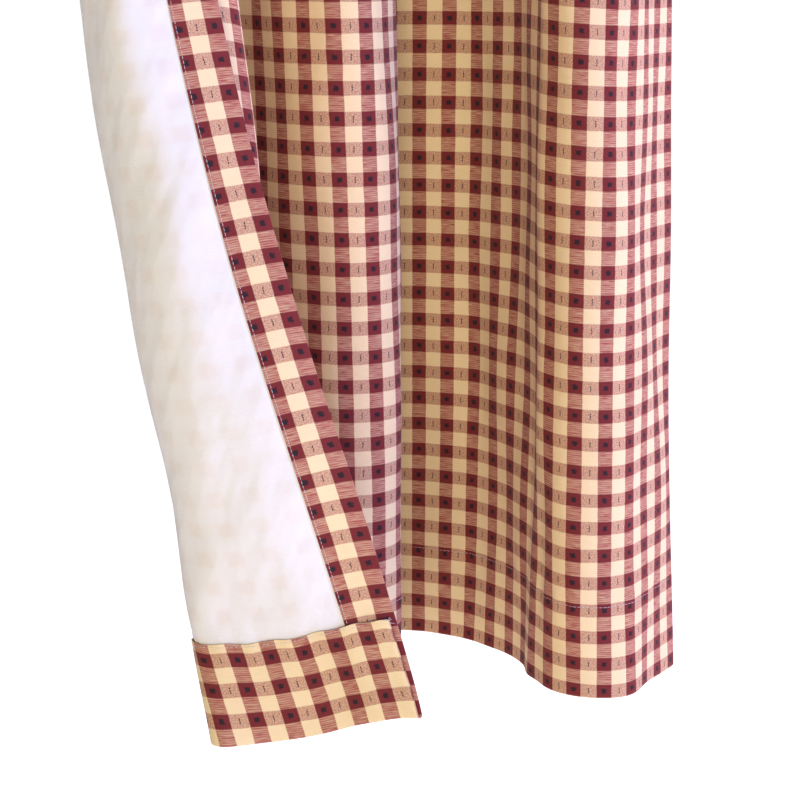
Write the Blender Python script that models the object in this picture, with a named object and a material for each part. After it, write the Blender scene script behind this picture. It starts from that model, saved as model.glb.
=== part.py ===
"""Lined cotton check curtain, one panel, hanging from its top edge in its folds.

Units are metres, +Z is up and -Y is the side that faces the room. The origin is the middle of the top
edge. Places on the cloth are counted in checks of the weave: across from the leading edge (which is
turned back so that the lining shows) to the outer edge, and up from the fold of the bottom hem.

The panel is two pieces of cloth: the check cloth, whose side, bottom and top hems are turned over on to
its back, and a plain white lining that lies inside those hems.
"""

from collections import namedtuple

import bmesh
import bpy
import numpy as np

# The weave: one check is one dark and one light stripe, a little wider than it is tall.
CHECK_WIDE = 0.025
CHECK_TALL = 0.023
CHECKS_ACROSS = 44
CHECKS_DOWN = 70

# Hems, turned over on to the back.
SIDE_HEM = 0.035
BOTTOM_HEM = 0.076
TOP_HEM = 0.038

# Cloth, and the gap kept between layers that touch on the real curtain.
CLOTH = 0.001
GAP = 0.0003

# How the panel hangs: one row for each stretch of cloth between two bends, from the leading edge on.
# checks: width of the stretch. top, third, hem: the way it runs in plan, in degrees, just under the
# gathers, a third of the way up, and at the hem; 0 is along the top edge, 90 is away from the room.
# lift: how far the slant of the stretch raises its hem, in mm.
Stretch = namedtuple("Stretch", "name checks top third hem lift")
STRETCHES = (
    Stretch("turned edge", 1.50, 39, 191, 144, 76),
    Stretch("turned back", 1.00, 39, 166, 146, 59),
    Stretch("turned back", 1.00, 39, 118, 147, 53),
    Stretch("turned back", 1.00, 39, 99, 149, 46),
    Stretch("round", 1.00, 39, 70, 164, 41),
    Stretch("round", 0.80, -75, -50, 164, 42),
    Stretch("behind", 2.60, -75, -42, 12, 38),
    Stretch("crest", 1.00, -75, 22, 34, 40),
    Stretch("going back", 7.10, 39, 84, 92, 8),
    Stretch("valley", 1.00, -75, 1, 1, 0),
    Stretch("coming out", 1.76, -75, -71, -71, -3),
    Stretch("middle fold", 1.00, -75, -53, -53, -5),
    Stretch("middle fold", 1.00, -75, -44, -44, -5),
    Stretch("middle fold", 1.00, 39, -5, -5, -5),
    Stretch("middle fold", 1.00, 39, 27, 27, -6),
    Stretch("going back", 1.30, 39, 59, 81, -3),
    Stretch("going back", 4.00, 39, 87, 86, -3),
    Stretch("valley", 1.70, -75, -29, -29, 0),
    Stretch("rear", 2.00, -75, -36, -44, 0),
    Stretch("coming out", 2.00, -75, -76, -73, 0),
    Stretch("coming out", 3.00, -75, -93, -89, 0),
    Stretch("front fold", 1.00, 39, -57, -56, 2),
    Stretch("front fold", 1.00, 39, -13, -27, 4),
    Stretch("outer fold", 1.00, 39, 29, -3, 6),
    Stretch("outer fold", 3.24, 39, 43, 39, 6),
)
THIRD = 24 / CHECKS_DOWN
BEND_WIDTH = 0.9
LIFT_BLEND = 2.5
LIFT_POWER = 2.7

# The thread that the folds are set off from, in checks from the leading edge. It hangs plumb, then
# leans forward to the heading, which is this far in front of it, above this height.
GUIDE_AT = 30.76
HEADING_FORWARD = 0.08
LEANS_ABOVE = 0.4

# The outer corner of the top edge hangs a little lower, over this stretch of checks.
OUTER_DROP = 0.010
DROP_FROM = 35
DROP_TO = 41

# The stiff double hem of the turned-back edge swings out a little: how far, the height in checks that
# it swings about, the height it fades over, and where across the cloth it starts and stops fading.
HEM_SWING = 0.014
SWINGS_ABOUT = 2.6
SWING_REACH = 4.5
SWING_FROM = 6
SWING_TO = 10

# Gathers under the top edge: checks in one gather, degrees it swings the cloth, checks it reaches down.
GATHER_CHECKS = 4.4
GATHER_SWING = 79
GATHER_REACH = 18

# The mesh: fine steps that the bends are worked out on, rows of faces up the cloth, and columns of
# faces, which are closer together where the cloth bends.
FINE = 24
ROWS = (11, 19, 28, 37, 46, 54, 60, 64.5)
COLUMNS_PER_CHECK = 0.74
COLUMNS_PER_DEGREE = 0.015

CHECK_COLOUR = (0.42, 0.20, 0.15, 1)
LINING_COLOUR = (0.87, 0.84, 0.85, 1)


def blended(values, at, width):
    """Column of the table as a smooth curve over the cloth.

    The stretches' values are steps; a raised-cosine window `width` checks to each side rounds them.
    """
    ends = np.cumsum([row.checks for row in STRETCHES])
    fine = np.arange(-4 * FINE, (CHECKS_ACROSS + 4) * FINE + 1) / FINE
    steps = np.array(values, float)[np.clip(np.searchsorted(ends, fine), 0, len(ends) - 1)]
    window = np.hanning(2 * round(width * FINE) + 1)
    padded = np.pad(steps, len(window) // 2, mode="edge")
    return np.interp(at, fine, np.convolve(padded, window / window.sum(), mode="valid"))


def plan_angles(across, up):
    """Direction of the cloth in plan, in radians, at each height (rows) and place across (columns).

    A parabola in height passes through the table's three values. Near the top the broad folds fade by
    the cosine of an angle that turns from 0 to 90 degrees, and the gathers, a sine across the cloth,
    grow by its sine, so the cloth stays about as wide as it was.
    """
    t = (np.asarray(up, float) / CHECKS_DOWN)[:, None]
    top, third, hem = (
        blended([getattr(row, level) for row in STRETCHES], across, BEND_WIDTH)
        for level in ("top", "third", "hem")
    )
    broad = (
        top * t * (t - THIRD) / (1 - THIRD)
        + third * t * (t - 1) / (THIRD * (THIRD - 1))
        + hem * (t - THIRD) * (t - 1) / THIRD
    )
    near_top = np.clip(1 - (1 - t) * CHECKS_DOWN / GATHER_REACH, 0, 1)
    turn = np.pi / 2 * near_top**2 * (3 - 2 * near_top)
    gather = GATHER_SWING * np.sin(2 * np.pi * np.asarray(across) / GATHER_CHECKS)
    return np.radians(broad * np.cos(turn) + gather * np.sin(turn))


def hang(across, up):
    """Points of the cloth's face: an array (heights, places across, xyz).

    The plan curve at each height is the running sum of (cos, sin) of its direction. Where the thread
    also climbs, its step in plan is that much shorter, so the cloth keeps its width. The curve is set
    off from the guide thread. Height is the thread's own length, plus the lift. The turned-back edge's
    hem swings forward, by a straight line in height under a bell curve.
    """
    up = np.asarray(up, float)
    fine = np.arange(CHECKS_ACROSS * FINE + 1) / FINE
    angle = plan_angles(fine, up)
    height = up / CHECKS_DOWN
    drop = np.clip((fine - DROP_FROM) / (DROP_TO - DROP_FROM), 0, 1)
    drop = OUTER_DROP * drop**2 * (3 - 2 * drop)
    lift = blended([row.lift / 1000 for row in STRETCHES], fine, LIFT_BLEND)
    slant = np.clip(1 - height, 0, None)[:, None] ** LIFT_POWER
    lean = np.clip((height - LEANS_ABOVE) / (1 - LEANS_ABOVE), 0, 1)
    lean = HEADING_FORWARD * lean**2 * (3 - 2 * lean)
    swing = HEM_SWING * (1 - up / SWINGS_ABOUT) * np.exp(-((up / SWING_REACH) ** 2))
    near = np.clip((SWING_TO - across) / (SWING_TO - SWING_FROM), 0, 1)
    near = near**2 * (3 - 2 * near)
    z = (height[:, None] - 1) * CHECKS_DOWN * CHECK_TALL - drop + lift * slant
    level = np.sqrt((CHECK_WIDE / FINE) ** 2 - np.diff(z, axis=1) ** 2)
    points = np.empty((len(up), len(across), 3))
    for row in range(len(up)):
        for axis, step in enumerate((np.cos(angle[row]), np.sin(angle[row]))):
            run = np.concatenate([[0], np.cumsum((step[1:] + step[:-1]) / 2 * level[row])])
            points[row, :, axis] = np.interp(across, fine, run) - np.interp(GUIDE_AT, fine, run)
        points[row, :, 1] -= lean[row] + swing[row] * near
        points[row, :, 2] = np.interp(across, fine, z[row])
    return points


def top_middle():
    """Middle of the top edge, which becomes the origin."""
    edge = hang(np.linspace(0, CHECKS_ACROSS, CHECKS_ACROSS * 4 + 1), [CHECKS_DOWN])[0]
    middle = (edge.min(axis=0) + edge.max(axis=0)) / 2
    return np.array([middle[0], middle[1], 0])


def face_and_normals(across, up):
    """Points of the face and its unit normals, from central differences of the hanging shape."""
    step = 0.02
    right, left = (hang(across + side * step, up) for side in (1, -1))
    above, below = (hang(across, up + side * step) for side in (1, -1))
    normals = np.cross(right - left, above - below)
    normals /= np.linalg.norm(normals, axis=2, keepdims=True)
    return hang(across, up) - top_middle(), normals


def columns():
    """Places across where the mesh has its columns, counted in checks.

    Near both edges they lie on the sides of the layers and hems. The rest are spread by a running sum
    of a constant and of the cloth's bend at three heights.
    """
    fine = np.arange(CHECKS_ACROSS * FINE + 1) / FINE
    bend = np.degrees(np.abs(np.diff(plan_angles(fine, [0, 24, CHECKS_DOWN]), axis=1))).mean(axis=0)
    share = np.concatenate([[0], np.cumsum(COLUMNS_PER_CHECK / FINE + COLUMNS_PER_DEGREE * bend)])
    inner = np.interp(np.arange(1, round(share[-1])) / round(share[-1]), share / share[-1], fine)
    side = SIDE_HEM / CHECK_WIDE
    apart = 0.25
    inner = inner[(inner > 2 * apart) & (inner < CHECKS_ACROSS - 2 * apart)]
    inner = inner[(abs(inner - side) > apart) & (abs(inner - (CHECKS_ACROSS - side)) > apart)]
    ends = np.array([0, CLOTH, CLOTH + GAP, SIDE_HEM]) / CHECK_WIDE
    return np.sort(np.concatenate([ends, inner, CHECKS_ACROSS - ends]))


def rows():
    """Heights, in checks up from the hem fold, where the mesh has its rows."""
    ends = np.array([0, CLOTH, CLOTH + GAP]) / CHECK_TALL
    bottom = BOTTOM_HEM / CHECK_TALL
    top = CHECKS_DOWN - TOP_HEM / CHECK_TALL
    return np.sort(np.concatenate([ends, [bottom], ROWS, [top], CHECKS_DOWN - ends]))


def layers():
    """Depths behind the face of the layers' sides: cloth, gap, lining, gap, turned-over hem."""
    return np.cumsum([0, CLOTH, GAP, CLOTH, GAP, CLOTH])


def check_cloth_cells(across, up):
    """Filled cells (across, up, layer) of the check cloth: its sheet, its turned edges and its hems.

    A cell is told by its middle's distance from the nearest side edge, bottom edge and top edge.
    """
    s = (across[1:] + across[:-1]) / 2
    v = (up[1:] + up[:-1]) / 2
    side = np.minimum(s, CHECKS_ACROSS - s)[:, None] * CHECK_WIDE
    bottom = v[None, :] * CHECK_TALL
    top = (CHECKS_DOWN - v)[None, :] * CHECK_TALL
    turned = (side < CLOTH) | (bottom < CLOTH) | (top < CLOTH)
    hemmed = (side < SIDE_HEM) | (bottom < BOTTOM_HEM) | (top < TOP_HEM)
    return np.stack([np.ones_like(turned), turned, turned, turned, hemmed], axis=2)


def lining_cells(across, up):
    """Filled cells of the lining: the middle layer, inside the turned edges and their gap."""
    cells = np.zeros((len(across) - 1, len(up) - 1, 5), bool)
    cells[2:-2, 2:-2, 2] = True
    return cells


def solid_from_cells(name, cells, points, normals, material):
    """Closed solid of the outer sides of the filled cells, laid along the hanging cloth."""
    mesh = bmesh.new()
    depth = layers()
    corners = {}

    def corner(i, j, k):
        if (i, j, k) not in corners:
            corners[i, j, k] = mesh.verts.new(points[j, i] - normals[j, i] * depth[k])
        return corners[i, j, k]

    filled = np.pad(cells, 1)
    for i, j, k in np.argwhere(cells):
        for axis in range(3):
            for side in (0, 1):
                beside = [i + 1, j + 1, k + 1]
                beside[axis] += 2 * side - 1
                if filled[tuple(beside)]:
                    continue
                ring = []
                for a, b in ((0, 0), (1, 0), (1, 1), (0, 1)):
                    at = [a, b]
                    at.insert(axis, side)
                    ring.append(corner(i + at[0], j + at[1], k + at[2]))
                mesh.faces.new(ring)
    bmesh.ops.recalc_face_normals(mesh, faces=mesh.faces)
    bmesh.ops.triangulate(mesh, faces=mesh.faces)
    data = bpy.data.meshes.new(name)
    mesh.to_mesh(data)
    mesh.free()
    data.materials.append(material)
    cloth = bpy.data.objects.new(name, data)
    bpy.context.collection.objects.link(cloth)
    return cloth


def cotton(name, colour, roughness):
    """Matt cloth."""
    material = bpy.data.materials.new(name)
    material.use_nodes = True
    shader = material.node_tree.nodes["Principled BSDF"]
    shader.inputs["Base Color"].default_value = colour
    shader.inputs["Roughness"].default_value = roughness
    shader.inputs["Metallic"].default_value = 0
    return material


def build():
    """The two pieces of cloth."""
    for old in list(bpy.data.objects):
        bpy.data.objects.remove(old, do_unlink=True)
    check = cotton("check_cotton", CHECK_COLOUR, 0.9)
    white = cotton("lining_cotton", LINING_COLOUR, 0.85)
    across = columns()
    up = rows()
    points, normals = face_and_normals(across, up)
    solid_from_cells("check_panel", check_cloth_cells(across, up), points, normals, check)
    solid_from_cells("lining", lining_cells(across, up), points, normals, white)


build()
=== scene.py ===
# %% [markdown]
# # A lined check curtain
#
# One cotton panel hangs in its folds. It is two pieces of cloth: a woven check, and a plain white
# lining that lies inside the check cloth's hems. The leading edge is turned back, so that both can be
# seen. Cloth can be simulated, but these folds are known places, so the panel is worked out instead: a
# table says which way each stretch of cloth runs, and adding up those directions gives its shape.
# Cloth made that way keeps its own width, which a bumpy plane doesn't.

# %% The frame
import math
from collections import namedtuple

import bpy
import numpy as np
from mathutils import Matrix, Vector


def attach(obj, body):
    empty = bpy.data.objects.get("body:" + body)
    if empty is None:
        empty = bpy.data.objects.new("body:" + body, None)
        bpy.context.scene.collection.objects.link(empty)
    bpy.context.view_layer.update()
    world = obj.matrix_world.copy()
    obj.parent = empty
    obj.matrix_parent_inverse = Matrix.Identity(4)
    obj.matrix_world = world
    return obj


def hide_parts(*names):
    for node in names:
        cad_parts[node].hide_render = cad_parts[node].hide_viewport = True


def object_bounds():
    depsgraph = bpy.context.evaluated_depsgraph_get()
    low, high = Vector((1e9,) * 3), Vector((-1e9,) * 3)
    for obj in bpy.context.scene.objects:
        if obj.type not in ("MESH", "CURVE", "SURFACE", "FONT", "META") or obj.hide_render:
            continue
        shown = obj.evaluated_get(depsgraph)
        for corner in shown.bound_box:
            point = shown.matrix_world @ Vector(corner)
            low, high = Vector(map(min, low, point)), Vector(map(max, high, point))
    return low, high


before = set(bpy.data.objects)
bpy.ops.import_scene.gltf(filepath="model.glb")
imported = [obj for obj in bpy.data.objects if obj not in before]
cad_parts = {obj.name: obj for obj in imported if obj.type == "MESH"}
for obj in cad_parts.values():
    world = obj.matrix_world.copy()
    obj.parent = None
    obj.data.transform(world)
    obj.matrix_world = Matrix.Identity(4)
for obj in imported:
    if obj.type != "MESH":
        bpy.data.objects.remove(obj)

cad_box = [list(corner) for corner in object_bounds()]
print("box of the frame:", np.round(cad_box, 3).tolist())

# %% [markdown]
# ## Counting in checks
#
# A weaver counts in repeats. One check is a dark stripe and a light stripe, 25 mm across and 23 mm up,
# and every place on this cloth is given in checks: across from the leading edge, and up from the fold
# of the bottom hem. The same numbers later place the pattern, the hems and the stitches.

# %% Sizes
CHECK_WIDE = 0.025  # metres
CHECK_TALL = 0.023
ACROSS = 44  # checks, as are the sizes below
DOWN = 70
SIDE_HEM = 1.39
BOTTOM_HEM = 3.3
TOP_HEM = 1.65
print("flat panel: %.2f x %.2f m" % (ACROSS * CHECK_WIDE, DOWN * CHECK_TALL))

# %% [markdown]
# ## The table of folds
#
# Each row is a stretch of cloth between two bends. Its angle is the way it runs in plan: 0 along the
# top edge, 90 away from the room. Three angles are given, for the heading, for a third of the way up,
# and for the hem. The lift is how many millimetres the slant of that stretch raises its hem. The guide
# thread, in the hollow between the middle and the front fold, is where the rest is measured from.

# %% The folds
Stretch = namedtuple("Stretch", "name checks top third hem lift")
STRETCHES = (
    Stretch("turned edge", 1.50, 39, 191, 144, 76),
    Stretch("turned back", 1.00, 39, 166, 146, 59),
    Stretch("turned back", 1.00, 39, 118, 147, 53),
    Stretch("turned back", 1.00, 39, 99, 149, 46),
    Stretch("round", 1.00, 39, 70, 164, 41),
    Stretch("round", 0.80, -75, -50, 164, 42),
    Stretch("behind", 2.60, -75, -42, 12, 38),
    Stretch("crest", 1.00, -75, 22, 34, 40),
    Stretch("going back", 7.10, 39, 84, 92, 8),
    Stretch("valley", 1.00, -75, 1, 1, 0),
    Stretch("coming out", 1.76, -75, -71, -71, -3),
    Stretch("middle fold", 1.00, -75, -53, -53, -5),
    Stretch("middle fold", 1.00, -75, -44, -44, -5),
    Stretch("middle fold", 1.00, 39, -5, -5, -5),
    Stretch("middle fold", 1.00, 39, 27, 27, -6),
    Stretch("going back", 1.30, 39, 59, 81, -3),
    Stretch("going back", 4.00, 39, 87, 86, -3),
    Stretch("valley", 1.70, -75, -29, -29, 0),
    Stretch("rear", 2.00, -75, -36, -44, 0),
    Stretch("coming out", 2.00, -75, -76, -73, 0),
    Stretch("coming out", 3.00, -75, -93, -89, 0),
    Stretch("front fold", 1.00, 39, -57, -56, 2),
    Stretch("front fold", 1.00, 39, -13, -27, 4),
    Stretch("outer fold", 1.00, 39, 29, -3, 6),
    Stretch("outer fold", 3.24, 39, 43, 39, 6),
)
THIRD = 24 / DOWN
GUIDE_AT = 30.76
FINE = 24  # steps of the running sum in one check
print("%d stretches, %.0f checks" % (len(STRETCHES), sum(row.checks for row in STRETCHES)))

# %% [markdown]
# ## From angles to a hanging shape
#
# Between rows of the table the cloth bends softly, so the steps are blurred with a raised-cosine
# window. Up the cloth, a parabola passes through the three angles. Just under the heading the broad
# folds fade into small even gathers, a sine wave across the cloth. The plan of the cloth at one height
# is then the running sum of the cosine and sine of its angle.

# %% Angles
BEND = 0.9  # checks
GATHERED = 18
GATHER_WIDE = 4.4
GATHER_ANGLE = 79


def blended(values, at, width):
    """A column of the table as a smooth curve: its steps, blurred `width` checks each way."""
    ends = np.cumsum([row.checks for row in STRETCHES])
    fine = np.arange(-4 * FINE, (ACROSS + 4) * FINE + 1) / FINE
    steps = np.array(values, float)[np.clip(np.searchsorted(ends, fine), 0, len(ends) - 1)]
    window = np.hanning(2 * round(width * FINE) + 1)
    padded = np.pad(steps, len(window) // 2, mode="edge")
    return np.interp(at, fine, np.convolve(padded, window / window.sum(), mode="valid"))


def ramp(x, low, high):
    """0 below low, 1 above high, and an S curve 3x^2 - 2x^3 between them."""
    x = np.clip((np.asarray(x, float) - low) / (high - low), 0, 1)
    return x * x * (3 - 2 * x)


def plan_angles(across, up):
    """Direction of the cloth in plan, in radians: a row for each height, a column for each place.

    A parabola in height through the three angles of the table, turned into the gathers' sine wave by a
    quarter turn: broad * cos + gather * sin.
    """
    t = (np.asarray(up, float) / DOWN)[:, None]
    top, third, hem = (
        blended([getattr(row, level) for row in STRETCHES], across, BEND)
        for level in ("top", "third", "hem")
    )
    broad = (
        top * t * (t - THIRD) / (1 - THIRD)
        + third * t * (t - 1) / (THIRD * (THIRD - 1))
        + hem * (t - THIRD) * (t - 1) / THIRD
    )
    turn = np.pi / 2 * ramp(t * DOWN, DOWN - GATHERED, DOWN)
    gather = GATHER_ANGLE * np.sin(2 * np.pi * across / GATHER_WIDE)
    return np.radians(broad * np.cos(turn) + gather * np.sin(turn))


corner_angle = plan_angles(np.array([0.0]), [0])[0, 0]
print("free corner of the hem runs at %.0f degrees" % np.degrees(corner_angle))

# %% The hanging shape
LIFT_BEND = 2.5  # checks
LIFT_POWER = 2.7
OUTER_DROP = 0.010  # metres
LEAN = 0.08
HEM_SWING = 0.014


def hang(across, up):
    """Points of the cloth's face: an array (heights, places, xyz), in metres.

    In plan: the running sum of (cos, sin) of the angle, less its value at the guide thread, which
    leans 80 mm forward to the heading. Where the thread climbs, its step in plan is shorter, so that
    the cloth keeps its width: level^2 + climb^2 = step^2. In height: the thread's own length, plus the
    lift of its slant, less a drop of 10 mm at the outer edge. The stiff double hem of the turned-back
    edge swings forward up to 14 mm, by a bell curve.
    """
    fine = np.arange(ACROSS * FINE + 1) / FINE
    angle = plan_angles(fine, up)
    height = (np.asarray(up, float) / DOWN)[:, None]
    step = np.stack([np.cos(angle), np.sin(angle)], axis=2)
    lift = blended([row.lift / 1000 for row in STRETCHES], fine, LIFT_BEND)
    slant = np.clip(1 - height, 0, None) ** LIFT_POWER
    z = (height - 1) * DOWN * CHECK_TALL - OUTER_DROP * ramp(fine, 35, 41) + lift * slant
    level = np.sqrt((CHECK_WIDE / FINE) ** 2 - np.diff(z, axis=1) ** 2)
    run = np.cumsum((step[:, 1:] + step[:, :-1]) / 2 * level[:, :, None], axis=1)
    run = np.concatenate([np.zeros_like(run[:, :1]), run], axis=1)
    points = np.concatenate([run, z[:, :, None]], axis=2)
    place = np.clip(np.asarray(across, float), 0, ACROSS) * FINE
    below = np.minimum(place.astype(int), ACROSS * FINE - 1)
    share = (place - below)[None, :, None]
    picked = points[:, below] * (1 - share) + points[:, below + 1] * share
    guide = round(GUIDE_AT * FINE)
    picked[:, :, :2] -= points[:, guide, None, :2]
    picked[:, :, 1] -= LEAN * ramp(height, 0.4, 1)
    risen = height * DOWN
    turned_back = 1 - ramp(np.asarray(across, float), 6, 10)
    swing = (1 - risen / 2.6) * np.exp(-((risen / 4.5) ** 2)) * turned_back
    picked[:, :, 1] -= HEM_SWING * swing
    return picked


edge = hang(np.linspace(0, ACROSS, ACROSS * 4 + 1), [DOWN])[0]
ORIGIN = np.array([*(edge.min(axis=0) + edge.max(axis=0))[:2] / 2, 0])
print("top edge: %.3f m long in plan" % np.ptp(edge[:, 0]))

# %% [markdown]
# ## The camera
#
# It stands about 1.6 m in front of the lower half of the panel, a little to the left, so that it looks
# past the turned-back edge, and it looks down 13 degrees. It is placed from the foot of the guide
# thread.

# %% Camera
foot = hang([GUIDE_AT], [0])[0, 0] - ORIGIN
camera = bpy.data.objects.new("camera", bpy.data.cameras.new("camera"))
bpy.context.collection.objects.link(camera)
camera.data.sensor_width = 36
camera.data.lens = 85.5
camera.location = foot + np.array([-0.563, -1.499, 0.58])
camera.rotation_euler = (math.radians(77), 0, math.radians(-20))
bpy.context.scene.camera = camera
print("camera at", [round(c, 3) for c in camera.location])

# %% [markdown]
# ## Round the hems
#
# A hem is the same cloth folded back. So the check cloth is one grid, and its two paths run round the
# edges: from the inner edge of one side hem, round the fold, across the face, round the other fold and
# in again. The pattern's own coordinate simply carries on past 0 and past 44, as the woven stripes do.

# %% Paths
TUCK = 0.02  # checks of cloth in a folded edge
FOLD_STEPS = 5
HEM_STEPS = 5  # in one check


def path(length, low_hem, high_hem, face):
    """A walk over cloth with a hem at each end: hem, folded edge, face, folded edge, hem.

    Returns the woven coordinate, the place on the face that it lies over, and an angle: 180 degrees on
    the hems, 0 on the face, between them round the folds, negative at the low end.
    """
    turn = np.linspace(np.pi, 0, FOLD_STEPS + 2)[1:-1]
    low = -np.linspace(low_hem, TUCK, max(4, round(low_hem * HEM_STEPS)))
    high = length + np.linspace(TUCK, high_hem, max(4, round(high_hem * HEM_STEPS)))
    low_fold, high_fold = -TUCK * turn / np.pi, length + TUCK * turn[::-1] / np.pi
    woven = np.concatenate([low, low_fold, face, high_fold, high])
    angle = np.concatenate([low * 0 - np.pi, -turn, face * 0, turn[::-1], high * 0 + np.pi])
    on_low_hem, on_high_hem = angle == -np.pi, angle == np.pi
    over = np.where(woven < 0, np.where(on_low_hem, -woven, 0), woven)
    over = np.where(woven > length, np.where(on_high_hem, 2 * length - woven, length), over)
    return woven, over, angle


def graded(*runs):
    """Places from 0 up, in runs of (end, step)."""
    places, start = [np.array([0.0])], 0.0
    for end, step in runs:
        count = round((end - start) / step)
        places.append(start + (end - start) * np.arange(1, count + 1) / count)
        start = end
    return np.concatenate(places)


across_path = path(ACROSS, SIDE_HEM, SIDE_HEM, graded((ACROSS, 1 / 7)))
up_path = path(DOWN, BOTTOM_HEM, TOP_HEM, graded((6, 0.2), (30, 0.4), (52, 0.8), (DOWN, 0.5)))
print("grid: %d x %d" % (len(across_path[0]), len(up_path[0])))

# %% [markdown]
# ## Small movements of the cloth
#
# Real cloth is never as even as a formula. Long soft ripples run down the panel, the seam pulls small
# puckers, the stiff double cloth of the hem pinches where the cloth turns sharply, and one soft crease
# runs up from there. All of these push the cloth a few millimetres along its normal. Each could be
# sculpted, but as formulas in the cloth's own coordinates they give the same cloth in every run.

# %% Ripples, puckers, pinch and crease
SEAM_UP = 3.2  # checks
HEM_DRIFT = 0.16
FLANK = 36.5

rng = np.random.default_rng(7)
RIPPLES = [
    (rng.uniform(2.5, 7), rng.uniform(14, 40), rng.uniform(0, 2 * np.pi), rng.uniform(-0.25, 0.25))
    for _ in range(7)
]


def ripples(s, v):
    """Sum of slanting sine waves 2.5 to 7 checks wide and 14 to 40 checks long, about 1 mm high."""
    waves = [
        np.sin(2 * np.pi * (s + lean * v) / wide + phase) * np.sin(2 * np.pi * v / tall + 2 * phase)
        for wide, tall, phase, lean in RIPPLES
    ]
    return 0.0008 * sum(waves)


def hem_drift(s):
    """The hem was turned up a little deeper away from the leading edge, by an S curve across."""
    return HEM_DRIFT * ramp(s, 8, 14)


def puckers(s, v):
    """Small waves across a stitched line, strongest at the stitches: two sines times a bell curve."""
    wave = np.sin(2 * np.pi * s / 0.83 + 3 * np.sin(s)) + 0.6 * np.sin(2 * np.pi * s / 0.57 + 2)
    return 0.0005 * wave * np.exp(-(((v - SEAM_UP - hem_drift(s)) / 0.6) ** 2))


def pinch(s, v):
    """The hem's own small ridge beside the front fold: a bell across, less a lower and wider one.

    It fades upwards by half a bell, within about five checks.
    """
    ridge = np.exp(-(((s - FLANK - 0.05 * v) / 0.45) ** 2))
    hollow = 0.25 * np.exp(-(((s - 35.7) / 0.5) ** 2))
    return 0.0035 * (ridge - hollow) * np.exp(-((v / 4.5) ** 2))


def crease(s, v):
    """A narrow ridge up the left flank of the front fold: a bell between two shallower upturned bells.

    The ridge is 15 mm wide, and it begins and ends by S curves up the cloth.
    """
    beside = s - FLANK - 0.7 * ramp(v, 0, 12)
    ridge = np.exp(-((beside / 0.3) ** 2))
    left, right = (np.exp(-(((beside + shift) / 0.34) ** 2)) for shift in (0.62, -0.62))
    hollows = left + 0.8 * right
    return 0.0017 * (ridge - 0.6 * hollows) * (1 - ramp(v, 34, 50)) * ramp(v, 1, 6)


def moved(s, v):
    """All the small movements at places s across and v up, in metres towards the face."""
    return ripples(s, v) + puckers(s, v) + pinch(s, v) + crease(s, v)


face_moves = moved(*np.meshgrid(np.arange(ACROSS), np.arange(DOWN)))
print("moved by %.1f to %.1f mm" % (face_moves.min() * 1000, face_moves.max() * 1000))

# %% [markdown]
# ## A layer of cloth
#
# Face, hem and lining all lie in the same folds, one behind the other. So one function gives the points
# of any layer, from its depth behind the face and from how far round a folded edge it has gone.

# %% Points of a layer
def cloth_points(s, v, angle_s=None, angle_v=None, depth=0.0, side_fold=0.0, hem_fold=0.0):
    """Points of a layer of cloth over the places s (across) and v (up), `depth` behind the face.

    A folded edge is a half circle as thick as the fold: it adds r sin(angle) outwards and
    r (1 - cos(angle)) of depth. A layer that is folded at the side and again at the hem lies between
    the two, so its depth is measured back from the hem's own depth. The turned-up hem is 2 to 4 mm
    short of the panel's side edges, and its inner edge wanders by half a millimetre.
    """
    step = 0.02  # checks, for the directions of the cloth
    low, high = np.clip(s - step, 0, ACROSS), np.clip(s + step, 0, ACROSS)
    along = hang(high, v) - hang(low, v)
    upward = hang(s, v + step) - hang(s, v - step)
    along /= np.linalg.norm(along, axis=2, keepdims=True)
    upward /= np.linalg.norm(upward, axis=2, keepdims=True)
    normal = np.cross(along, upward)
    normal /= np.linalg.norm(normal, axis=2, keepdims=True)
    turn_s = np.zeros(len(s)) if angle_s is None else angle_s
    turn_v = np.zeros(len(v)) if angle_v is None else angle_v
    turn_s, turn_v = np.meshgrid(turn_s, turn_v)
    grid_s, grid_v = np.meshgrid(s, v)
    side = side_fold / 2 * (1 - np.cos(turn_s))
    out_s = side_fold / 2 * np.sin(turn_s)
    reach = np.broadcast_to(hem_fold, turn_s.shape) / 2 - side
    back = side + reach * (1 - np.cos(turn_v))
    out_v = reach * np.sin(turn_v)
    push = moved(grid_s, grid_v) - depth - back
    at_bottom = grid_v < DOWN / 2
    hemmed = (1 - np.cos(turn_v)) / 2 * np.clip(grid_v / BOTTOM_HEM, 0, 1) * at_bottom
    uneven = 0.0006 * np.sin(2 * np.pi * grid_s / 1.1 + 2 * np.sin(0.9 * grid_s))
    out_v = out_v + (hem_drift(grid_s) * CHECK_TALL + uneven) * hemmed
    short = (0.0016 + 0.0020 * hemmed) * (1 - np.cos(turn_v)) / 2 * at_bottom
    out_s = out_s + short * ((1 - ramp(grid_s, 0, 2)) - ramp(grid_s, ACROSS - 2, ACROSS))
    points = hang(s, v) - ORIGIN + normal * push[:, :, None]
    return points + along * out_s[:, :, None] + upward * out_v[:, :, None]


# %% [markdown]
# ## Meshes from grids
#
# A grid of points becomes a mesh of quads in one go. The woven coordinates go into a UV map called
# `checks`, so that the pattern, the bumps and the seams follow the cloth wherever it folds.

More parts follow.
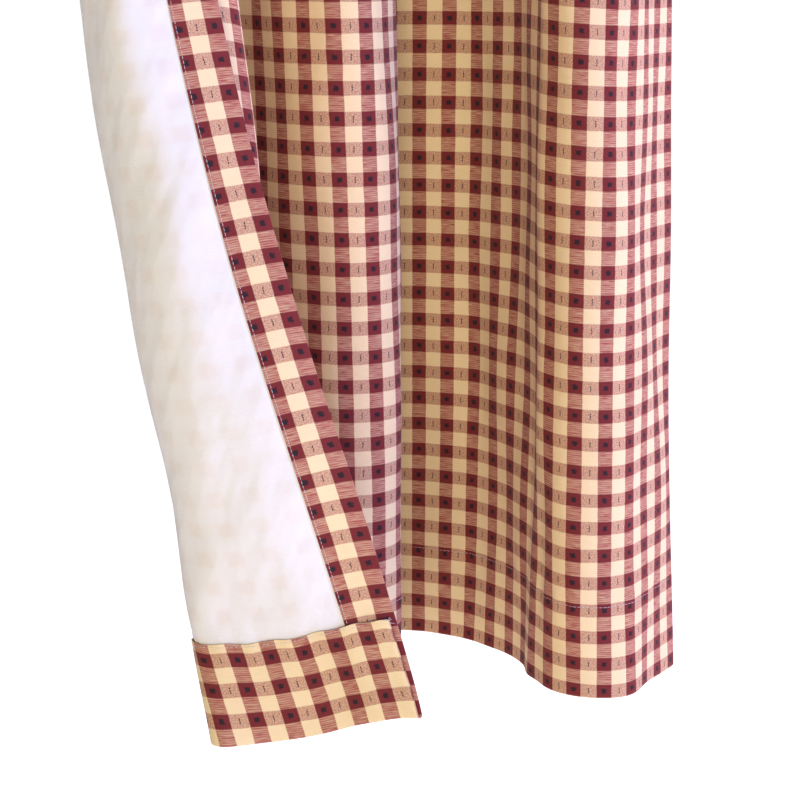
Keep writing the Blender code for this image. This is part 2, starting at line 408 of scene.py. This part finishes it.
# %% Grid to mesh
def grid_mesh(name, points, u, v, material):
    """Smooth quad mesh over an array (rows, columns, xyz), with its woven coordinates as a UV map."""
    rows, columns = points.shape[:2]
    index = np.arange(rows * columns).reshape(rows, columns)
    corners = [index[:-1, :-1], index[:-1, 1:], index[1:, 1:], index[1:, :-1]]
    quads = np.stack(corners, axis=2).reshape(-1, 4)
    mesh = bpy.data.meshes.new(name)
    mesh.from_pydata(points.reshape(-1, 3), [], quads)
    grid_u, grid_v = np.meshgrid(u, v)
    woven = np.stack([grid_u.ravel(), grid_v.ravel()], axis=1)[quads.ravel()]
    mesh.uv_layers.new(name="checks").data.foreach_set("uv", woven.ravel())
    mesh.polygons.foreach_set("use_smooth", np.ones(len(quads), bool))
    mesh.materials.append(material)
    piece = bpy.data.objects.new(name, mesh)
    bpy.context.collection.objects.link(piece)
    print(name, len(quads) * 2, "triangles")
    return piece


# %% [markdown]
# ## Shader maths in Python
#
# A woven pattern is arithmetic on two coordinates. Written as nodes it is hard to read, so one small
# class wraps a socket and lets Python's operators add the Math nodes.

# %% The socket class
class Value:
    """A number in a material, on which +, -, * and a few named steps add Math nodes."""

    def __init__(self, tree, socket):
        self.tree, self.socket = tree, socket

    def node(self, kind, settings, *inputs):
        """Adds any node: its settings, then the numbers or links of its input sockets in order."""
        made = self.tree.nodes.new(kind)
        for key, value in settings.items():
            setattr(made, key, value)
        for place, value in enumerate(inputs):
            if isinstance(value, Value):
                self.tree.links.new(value.socket, made.inputs[place])
            else:
                made.inputs[place].default_value = value
        return Value(self.tree, made.outputs[0])

    def maths(self, operation, *inputs):
        """Adds a Math node."""
        return self.node("ShaderNodeMath", {"operation": operation}, *inputs)

    def __add__(self, other):
        return self.maths("ADD", self, other)

    def __sub__(self, other):
        return self.maths("SUBTRACT", self, other)

    def __rsub__(self, other):
        return self.maths("SUBTRACT", other, self)

    def __mul__(self, other):
        return self.maths("MULTIPLY", self, other)

    __radd__ = __add__
    __rmul__ = __mul__

    def sine(self):
        return self.maths("SINE", self)

    def off_centre(self, centre):
        """Distance from the nearest centre + whole number, from 0 to 0.5."""
        return self.maths("ABSOLUTE", self.maths("FRACT", self + (0.5 - centre)) - 0.5)

    def within(self, half, soft):
        """1 where the value is under half, 0 above it, with an edge 2 * soft wide."""
        smooth = {"interpolation_type": "SMOOTHSTEP", "clamp": True}
        return self.node("ShaderNodeMapRange", smooth, self, half + soft, half - soft, 0.0, 1.0)

    def larger(self, other):
        return self.maths("MAXIMUM", self, other)

    def noise(self, x, y, scale, detail, rough=0.5):
        """Noise from 0 to 1 over the plane x, y."""
        place = self.node("ShaderNodeCombineXYZ", {}, x, y, 0.0)
        made = self.tree.nodes.new("ShaderNodeTexNoise")
        made.noise_dimensions = "2D"
        self.tree.links.new(place.socket, made.inputs["Vector"])
        made.inputs["Scale"].default_value = scale
        made.inputs["Detail"].default_value = detail
        made.inputs["Roughness"].default_value = rough
        return Value(self.tree, made.outputs["Fac"])


def colour_mix(factor, one, other):
    """A colour between two: each colour is a tuple or a link, and the factor is a link."""
    made = factor.tree.nodes.new("ShaderNodeMix")
    made.data_type = "RGBA"
    for place, value in ((0, factor), (6, one), (7, other)):  # Factor, A and B of a colour Mix
        if isinstance(value, Value):
            factor.tree.links.new(value.socket, made.inputs[place])
        else:
            made.inputs[place].default_value = value
    return Value(factor.tree, made.outputs[2])


def colour_times(one, value):
    """A colour made darker or lighter by a number."""
    made = one.tree.nodes.new("ShaderNodeVectorMath")
    made.operation = "SCALE"
    one.tree.links.new(one.socket, made.inputs[0])
    one.tree.links.new(value.socket, made.inputs["Scale"])
    return Value(one.tree, made.outputs[0])


def cloth_material(name, roughness, sheen):
    """A new matt material. Returns it, its shader node, and the woven coordinates u and v."""
    material = bpy.data.materials.new(name)
    material.use_nodes = True
    tree = material.node_tree
    shader = tree.nodes["Principled BSDF"]
    shader.inputs["Roughness"].default_value = roughness
    shader.inputs["Specular IOR Level"].default_value = 0.1
    shader.inputs["Sheen Weight"].default_value = sheen
    shader.inputs["Sheen Roughness"].default_value = 0.5
    woven = tree.nodes.new("ShaderNodeUVMap")
    woven.uv_map = "checks"
    parts = tree.nodes.new("ShaderNodeSeparateXYZ")
    tree.links.new(woven.outputs[0], parts.inputs[0])
    return material, shader, Value(tree, parts.outputs[0]), Value(tree, parts.outputs[1])


def bumped(shader, height, distance, strength):
    """Feeds a height, of `distance` metres per unit, to the shader's normal through a Bump node."""
    bump = height.tree.nodes.new("ShaderNodeBump")
    bump.inputs["Strength"].default_value = strength
    bump.inputs["Distance"].default_value = distance
    height.tree.links.new(height.socket, bump.inputs["Height"])
    height.tree.links.new(bump.outputs[0], shader.inputs["Normal"])


# %% [markdown]
# ## The check cloth
#
# The stripes are dyed in the yarn: the warp runs up the cloth and the weft across it. Where two
# burgundy stripes cross the cloth is solid burgundy, and where two tan stripes cross it is solid tan.
# Where burgundy weft crosses tan warp the colours make a fine speckle, and where tan weft crosses
# burgundy warp the slubs of the yarn make short streaks along the weft. Stripes painted on the mesh
# would blur close up, so these are masks on the woven coordinates, and their edges wander a little.

# %% Stripes
BURGUNDY = (0.152, 0.020, 0.019, 1)
LOOSE_RED = (0.270, 0.034, 0.036, 1)
TAN = (0.74, 0.535, 0.295, 1)
BLACK = (0.020, 0.014, 0.016, 1)
WARP_AT, WEFT_AT = 0.76, 0.24  # middles of the burgundy stripes, in a check
HALF_STRIPE = 0.24
STRIPE_EDGE = 0.014
WANDER = 0.035
WAVE = 2 * math.pi

check_cotton, shader, u, v = cloth_material("check_cotton", roughness=0.9, sheen=0.07)
u_yarn = u + (u.noise(u, v, 1.7, 2.0) - 0.5) * WANDER
v_yarn = v + (u.noise(u + 31.0, v, 1.9, 2.0) - 0.5) * WANDER
from_warp = u_yarn.off_centre(WARP_AT)
from_weft = v_yarn.off_centre(WEFT_AT)
warp = from_warp.within(HALF_STRIPE, STRIPE_EDGE)
weft = from_weft.within(HALF_STRIPE, STRIPE_EDGE)
speckle = u.noise(u, v, 22.0, 2.0, 0.7)
streak = u.noise(u * 2.2, v * 26.0, 1.0, 2.0, 0.6)
lines = (v * (WAVE * 14) + streak * 8.0).sine()
speckled = 0.55 + (speckle - 0.5) * 1.2
streaked = 0.73 + lines * 0.13 + (streak - 0.5) * 0.8
solid = warp * weft
amount = solid + (1 - warp) * weft * speckled + warp * (1 - weft) * streaked
stripes = colour_mix(amount, TAN, colour_mix(solid, LOOSE_RED, BURGUNDY))
print("stripes:", len(check_cotton.node_tree.nodes), "nodes")

# %% [markdown]
# Black yarn floats over the stripes in two small figures: a ragged block in the middle of each burgundy
# square, and a short tick of three floats in each speckled one. Both are boxes made from two masks.

# %% Black floats
TICK_AT = 0.26  # middle of the tan warp stripe

ragged = (u.noise(u, v, 9.0, 1.0) - 0.5) * 0.09
floats = (u * (WAVE * 11)).sine() * (v * (WAVE * 11)).sine() * 0.2
block = (from_warp + ragged).within(0.078, 0.028) * (from_weft - ragged).within(0.085, 0.028)
block = block * (0.86 + floats * 0.7 + speckle * 0.2)
wobble = (v * (WAVE * 8)).sine() * 0.004 + (u.noise(u, v, 4.0, 1.0) - 0.5) * 0.02
tick = (u_yarn + wobble).off_centre(TICK_AT).within(0.017, 0.013) * from_weft.within(0.11, 0.012)
tick = tick * (v * 12.5).off_centre(0.0).within(0.40, 0.08) * (0.75 + speckle * 0.5)
figures = colour_mix(block.larger(tick), stripes, BLACK)
print("with the black floats:", len(check_cotton.node_tree.nodes), "nodes")

# %% [markdown]
# The yarn isn't quite even, so the tone drifts by a few percent. The bump has three sizes: the weave,
# the slubs, and soft hollows about a check wide that catch the light as pressed cotton does.

# %% Tone and surface
drift = (u.noise(u, v, 0.35, 3.0) - 0.5) * 0.08
tone = 0.95 + (streak - 0.5) * 0.10 + (speckle - 0.5) * 0.05 + drift
u.tree.links.new(colour_times(figures, tone).socket, shader.inputs["Base Color"])
u.tree.links.new((0.84 + speckle * 0.12).socket, shader.inputs["Roughness"])
weave = (u * (WAVE * 30)).sine() * (v * (WAVE * 28)).sine()
soft = u.noise(u, v, 0.9, 3.0, 0.55)
bumped(shader, weave * 0.12 + streak * 0.5 + soft * 4.0, distance=0.0004, strength=0.6)
print("check cotton:", len(check_cotton.node_tree.nodes), "nodes")

# %% [markdown]
# ## The lining
#
# Plain white cotton, thin enough that the burgundy squares behind it show as faint ghosts. It hangs
# loosely from the hems, so soft slanting creases cross it. Real light through two cloths is slow to
# render, so the ghosts are the same stripe masks, wider at their edges, mixed in as a second white.

# %% Lining material
WHITE = (0.67, 0.61, 0.57, 1)
GHOST = (0.65, 0.55, 0.485, 1)
GHOST_EDGE = 0.10

lining_cotton, shader, u, v = cloth_material("lining_cotton", roughness=0.85, sheen=0.15)
columns = u.off_centre(WARP_AT).within(HALF_STRIPE, GHOST_EDGE)
rows = v.off_centre(WEFT_AT).within(HALF_STRIPE, GHOST_EDGE)
patchy = u.noise(u, v, 0.3, 2.0)
fine = u.noise(u * 6.0, v * 30.0, 1.0, 2.0, 0.6)
behind = columns * rows * 0.6 + (columns + rows) * 0.2
lining_colour = colour_mix(behind * (0.25 + patchy * 0.8), WHITE, GHOST)
u.tree.links.new(colour_times(lining_colour, 0.98 + fine * 0.04).socket, shader.inputs["Base Color"])
u.tree.links.new((0.8 + fine * 0.1).socket, shader.inputs["Roughness"])
slant = u.noise(u * 0.9 + v * 0.5, v * 0.35 - u * 0.2, 0.8, 2.0, 0.45)
bumped(shader, slant * 6.0 + fine * 0.25, distance=0.001, strength=0.6)
print("lining cotton:", len(lining_cotton.node_tree.nodes), "nodes")

# %% [markdown]
# ## The thread
#
# The hems are sewn in grey-white thread. The side hems are sewn with a dark thread on the face, which
# hardly shows there. Each stitch is a separate short piece.

# %% Thread materials
def thread_material(name, dark, pale):
    """Twisted thread: two colours in a slanting stripe along each stitch."""
    material, shader, u, v = cloth_material(name, roughness=0.6, sheen=0.2)
    twist = (u * 60.0 + v * 6.0).sine() * 0.5 + 0.5
    u.tree.links.new(colour_mix(twist, dark, pale).socket, shader.inputs["Base Color"])
    print(name + ":", len(material.node_tree.nodes), "nodes")
    return material


pale_thread = thread_material("pale_thread", (0.36, 0.33, 0.34, 1), (0.56, 0.53, 0.54, 1))
dark_thread = thread_material("dark_thread", (0.10, 0.03, 0.03, 1), (0.20, 0.07, 0.06, 1))

# %% [markdown]
# ## Making the pieces
#
# The side hems lie 1.4 mm behind the face, with the lining between, and the bottom hem is turned up
# over them. Away from the side hems it lies close to the lining. Over them it stands off more, because
# four layers are folded there, and its free ends spring up to 3 mm away from the layers below.

# %% Check cloth
SIDE_FOLD = 0.0014  # metres
HEM_FOLD = 0.0019
OVER_SIDE_HEM = 0.0019
AT_EDGE = 0.0012
SPRING = 0.0030

woven_u, over_u, angle_u = across_path
woven_v, over_v, angle_v = up_path
from_edge = np.minimum(over_u, ACROSS - over_u)
thicker = OVER_SIDE_HEM * (1 - ramp(from_edge, 1.2, 2.2))
hem_fold = HEM_FOLD + thicker + AT_EDGE * (1 - ramp(from_edge, 0, 0.5))
near_edge = 1 - ramp(from_edge, 0, 1.0)
springs = SPRING * near_edge[None, :] * np.clip(over_v / BOTTOM_HEM, 0, 1)[:, None]
check_cloth = grid_mesh(
    "check_cloth",
    cloth_points(over_u, over_v, angle_u, angle_v, 0.0, SIDE_FOLD, hem_fold[None, :] + springs),
    woven_u,
    woven_v,
    check_cotton,
)

# %% [markdown]
# The lining is cut 4 mm short of the folded edges. It is caught in the hems, and between them it
# billows back by a few millimetres: a product of two sine waves, faded out towards each hem.

# %% Lining
LINING_IN = 0.15  # checks
LINING_DEPTH = 0.0007  # metres
BILLOW = 0.0016

lining_u = np.linspace(LINING_IN, ACROSS - LINING_IN, ACROSS * 5)
lining_v = graded((6, 0.3), (30, 0.4), (52, 0.8), (DOWN, 0.6))[1:-1]
grid_s, grid_v = np.meshgrid(lining_u, lining_v)
free_across = ramp(grid_s, 1.4, 3) * (1 - ramp(grid_s, 41, 42.6))
free = free_across * ramp(grid_v, BOTTOM_HEM, 6) * (1 - ramp(grid_v, 64, 68))
long_wave = np.sin(0.5 * grid_s - 0.32 * grid_v + 1)
billow = BILLOW * (1.2 + np.sin(1.3 * grid_s + 0.45 * grid_v) * long_wave)
lining_cloth = grid_mesh(
    "lining_cloth",
    cloth_points(lining_u, lining_v, depth=LINING_DEPTH + billow * free),
    lining_u,
    lining_v,
    lining_cotton,
)

# %% [markdown]
# ## Stitches
#
# A machine stitch is a short thread that dives into the cloth at both ends. One stitch is made as a
# bent tube with six sides, and then all the stitches of a seam are placed at once: each gets the
# direction of its seam and the normal of the cloth.

# %% A seam
RINGS, SIDES = 5, 6


def line_points(s, v, depth):
    """Points along a seam: across the cloth at the drifting hem's height, or up it at one place s."""
    if np.ptp(v) > 0:
        return cloth_points(s[:1], v, depth=depth)[:, 0]
    low, high = (cloth_points(s, v[:1] + shift, depth=depth)[0] for shift in (0.0, HEM_DRIFT))
    share = hem_drift(s)[:, None] / HEM_DRIFT * (v[0] < DOWN / 2)
    return low * (1 - share) + high * share


def seam(s, v, depth, outward, length=0.0028, radius=0.00021):
    """Points of one seam: a bent tube at each place of the line (s, v), as rings of six points.

    The tube follows x along the seam, and its height is a half sine, so that its ends dip into the
    cloth. Stitches on the back have `outward` 1 and those on the face -1.
    """
    below, middle = (line_points(s, v, depth + outward * shift) for shift in (-0.00005, 0.0))
    normal = middle - below
    normal /= np.linalg.norm(normal, axis=1, keepdims=True)
    along = np.gradient(middle, axis=0)
    along /= np.linalg.norm(along, axis=1, keepdims=True)
    beside = np.cross(along, normal)
    t = np.linspace(0, 1, RINGS)
    ring = np.linspace(0, 2 * np.pi, SIDES + 1)[:-1]
    x = (t - 0.5) * length
    rise = radius * 1.6 * np.sin(np.pi * t) - radius
    width = radius * (0.55 + 0.45 * np.sin(np.pi * t))
    line = middle[:, None] + along[:, None] * x[:, None] + normal[:, None] * rise[:, None]
    round_it = (
        beside[:, None, None] * np.cos(ring)[None, None, :, None]
        + normal[:, None, None] * np.sin(ring)[None, None, :, None]
    )
    return line[:, :, None] + round_it * width[None, :, None, None]


def stitches(name, seams, material):
    """All the seams as one mesh of short tubes, closed at their ends by two quads each."""
    tubes = np.concatenate(seams)
    count = len(tubes)
    index = np.arange(RINGS * SIDES).reshape(RINGS, SIDES)
    turned = np.roll(index, -1, axis=1)
    quads = np.stack([index[:-1], turned[:-1], turned[1:], index[1:]], axis=2).reshape(-1, 4)
    start_cap = np.array([[0, 5, 4, 3], [0, 3, 2, 1]])
    end_cap = index[-1, 0] + np.array([[0, 1, 2, 3], [0, 3, 4, 5]])
    quads = np.concatenate([quads, start_cap, end_cap])
    faces = (quads[None] + index.size * np.arange(count)[:, None, None]).reshape(-1, 4)
    mesh = bpy.data.meshes.new(name)
    mesh.from_pydata(tubes.reshape(-1, 3), [], faces)
    woven = np.meshgrid(np.arange(SIDES) / SIDES, np.arange(RINGS) / RINGS)
    woven = np.stack(woven, axis=2).reshape(-1, 2)
    woven = np.tile(woven, (count, 1)) + np.repeat(np.arange(count), index.size)[:, None] * 0.37
    mesh.uv_layers.new(name="checks").data.foreach_set("uv", woven[faces.ravel()].ravel())
    mesh.polygons.foreach_set("use_smooth", np.ones(len(faces), bool))
    mesh.materials.append(material)
    piece = bpy.data.objects.new(name, mesh)
    bpy.context.collection.objects.link(piece)
    print(name, count, "stitches,", len(faces) * 2, "triangles")
    return piece


# %% [markdown]
# Each hem is sewn through, so its seam shows on the face and on the back. The bottom and top seams run
# across the panel just inside the hem's edge, and the side seams run up between them. On the face the
# side seams' stitches are short, sunk and dark.

# %% Hem and side stitches
PITCH = 0.0034  # metres
SIDE_SEAM = 1.31  # checks
TOP_SEAM = 1.55
SEAM_ENDS = 0.2
SIDE_SEAM_FROM, SIDE_SEAM_TO = 3.4, DOWN - 1.7
FACE_STITCH = {"length": 0.0031, "radius": 0.00019}
SUNK_STITCH = {"length": 0.0016, "radius": 0.00016}

across_line = np.arange(SEAM_ENDS, ACROSS - SEAM_ENDS, PITCH / CHECK_WIDE)
up_line = np.arange(SIDE_SEAM_FROM, SIDE_SEAM_TO, PITCH / CHECK_TALL)
hem_line = np.full(len(across_line), SEAM_UP)
top_line = np.full(len(across_line), DOWN - TOP_SEAM)
on_face = angle_u == 0
band_line = across_line[1:-1]
standing_off = (hem_fold + SPRING * near_edge)[on_face]
band_depth = np.interp(band_line, over_u[on_face], standing_off)[None, :]
seams = [
    seam(across_line, hem_line, 0.0, -1, **FACE_STITCH),
    seam(band_line, hem_line[1:-1], band_depth, 1),
    seam(across_line, top_line, 0.0, -1, **FACE_STITCH),
    seam(band_line, top_line[1:-1], band_depth, 1),
]
side_lines = [np.full(len(up_line), place) for place in (SIDE_SEAM, ACROSS - SIDE_SEAM)]
seams += [seam(line, up_line, SIDE_FOLD, 1) for line in side_lines]
hem_stitches = stitches("hem_stitches", seams, pale_thread)
face_seams = [seam(line, up_line, 0.0, -1, **SUNK_STITCH) for line in side_lines]
side_stitches = stitches("side_stitches", face_seams, dark_thread)

# %% [markdown]
# ## Thread ends
#
# Where the hem's seam ends at the free corner of the turned-back edge, the thread was cut off and its
# ends fluff out. A few short bent strands are enough, each a tube like a stitch, from one seed.

# %% Thread ends
def strands(s, v, depth, count, seed):
    """Strands from one place: start + direction * length * t, bowed sideways by a half sine of t."""
    draw = np.random.default_rng(seed)
    corner, beside_it, above = (
        cloth_points(np.array([s + ds]), np.array([v + dv]), depth=depth)[0, 0]
        for ds, dv in ((0, 0), (0.1, 0), (0, 0.1))
    )
    across_way, up_way = beside_it - corner, above - corner
    across_way /= np.linalg.norm(across_way)
    up_way /= np.linalg.norm(up_way)
    out_way = -np.cross(across_way, up_way)
    turn = draw.uniform(-0.9, 2.6, count)[:, None, None]
    length = draw.uniform(0.0018, 0.0042, count)[:, None, None]
    bow = draw.uniform(-0.0012, 0.0012, count)[:, None, None]
    t = np.linspace(0, 1, RINGS)[None, :, None]
    way = up_way * np.cos(turn) - across_way * np.sin(turn)
    side = up_way * np.sin(turn) + across_way * np.cos(turn)
    off_cloth = out_way * (0.0004 + 0.0014 * t)
    line = corner + way * length * t + side * bow * np.sin(np.pi * t) + off_cloth
    ring = np.linspace(0, 2 * np.pi, SIDES + 1)[:-1][None, None, :, None]
    width = (0.0002 * (1 - 0.4 * t))[:, :, None]
    return line[:, :, None] + (side[:, :, None] * np.cos(ring) + out_way * np.sin(ring)) * width


tuft = strands(0.16, 3.22, band_depth[0, 0], count=8, seed=5)
thread_ends = stitches("thread_ends", [tuft], pale_thread)

# %% [markdown]
# ## Attaching the pieces
#
# Each piece is attached to the root body, and the frame's own check panel and lining are hidden. The
# check cloth's mesh takes in its turnings.

# %% Pieces
for piece in (check_cloth, lining_cloth, hem_stitches, side_stitches, thread_ends):
    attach(piece, "root")
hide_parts("check_panel")
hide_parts("lining")

# %% [markdown]
# ## Studio
#
# A white floor well below the hem, and three soft lights as in a room with a window: a warm low one in
# front, a bluish one from the front right that reaches into the hollows, and a pinkish one from the
# right that whitens the sides of the folds that face it. The floor glows like a lit backdrop, but less
# in front of the curtain, so that it doesn't light the hems from below. The surround adds a little from
# all sides.

# %% Floor
floor_mesh = bpy.data.meshes.new("floor")
half, level = 60.0, cad_box[0][2] - 0.5
corners = [(-half, -half, level), (half, -half, level), (half, half, level), (-half, half, level)]
floor_mesh.from_pydata(corners, [], [(0, 1, 2, 3)])
floor = bpy.data.objects.new("floor", floor_mesh)
bpy.context.collection.objects.link(floor)
floor_paint = bpy.data.materials.new("floor_paint")
floor_paint.use_nodes = True
paint = floor_paint.node_tree.nodes["Principled BSDF"]
paint.inputs["Base Color"].default_value = (0.9, 0.9, 0.9, 1)
paint.inputs["Roughness"].default_value = 0.9
tree = floor_paint.node_tree
place = tree.nodes.new("ShaderNodeTexCoord")
parts = tree.nodes.new("ShaderNodeSeparateXYZ")
tree.links.new(place.outputs["Object"], parts.inputs[0])
in_front = Value(tree, parts.outputs[1]).within(0.5, 0.3)
glow = colour_mix(in_front, (0.97, 0.97, 0.97, 1), (0.38, 0.38, 0.38, 1))
tree.links.new(glow.socket, paint.inputs["Emission Color"])
paint.inputs["Emission Strength"].default_value = 1.0
floor_mesh.materials.append(floor_paint)
print("floor at %.2f m" % level)

# %% Lights
TARGET = np.array([0.0, -0.05, -1.15])


def soft_light(name, azimuth, elevation, distance, size, power, colour):
    """An area light aimed at the middle of the panel. Azimuth 0 is in front, 90 on the right."""
    a, e = math.radians(azimuth), math.radians(elevation)
    back = np.array([math.sin(a) * math.cos(e), -math.cos(a) * math.cos(e), math.sin(e)])
    lamp = bpy.data.lights.new(name, "AREA")
    lamp.shape = "DISK"
    lamp.size = size
    lamp.energy = power
    lamp.color = colour
    made = bpy.data.objects.new(name, lamp)
    bpy.context.collection.objects.link(made)
    made.location = TARGET + back * distance
    made.rotation_euler = (math.radians(90) - e, 0, a)
    print(name, "light:", power, "W from", azimuth, "degrees")


# name, azimuth and elevation in degrees, distance and size in metres, watts, colour
soft_light("window", 85, 15, 3.0, 1.4, 74, (0.80, 0.60, 0.72))
soft_light("sky", 40, 12, 3.0, 1.4, 125, (0.33, 0.41, 1.0))
soft_light("front", -20, 0, 3.5, 1.8, 83, (1.0, 0.99, 0.80))

world = bpy.data.worlds.new("surround")
bpy.context.scene.world = world
world.use_nodes = True
world.node_tree.nodes["Background"].inputs["Color"].default_value = (1, 1, 1, 1)
world.node_tree.nodes["Background"].inputs["Strength"].default_value = 0.1
bpy.context.scene.view_settings.view_transform = "Standard"
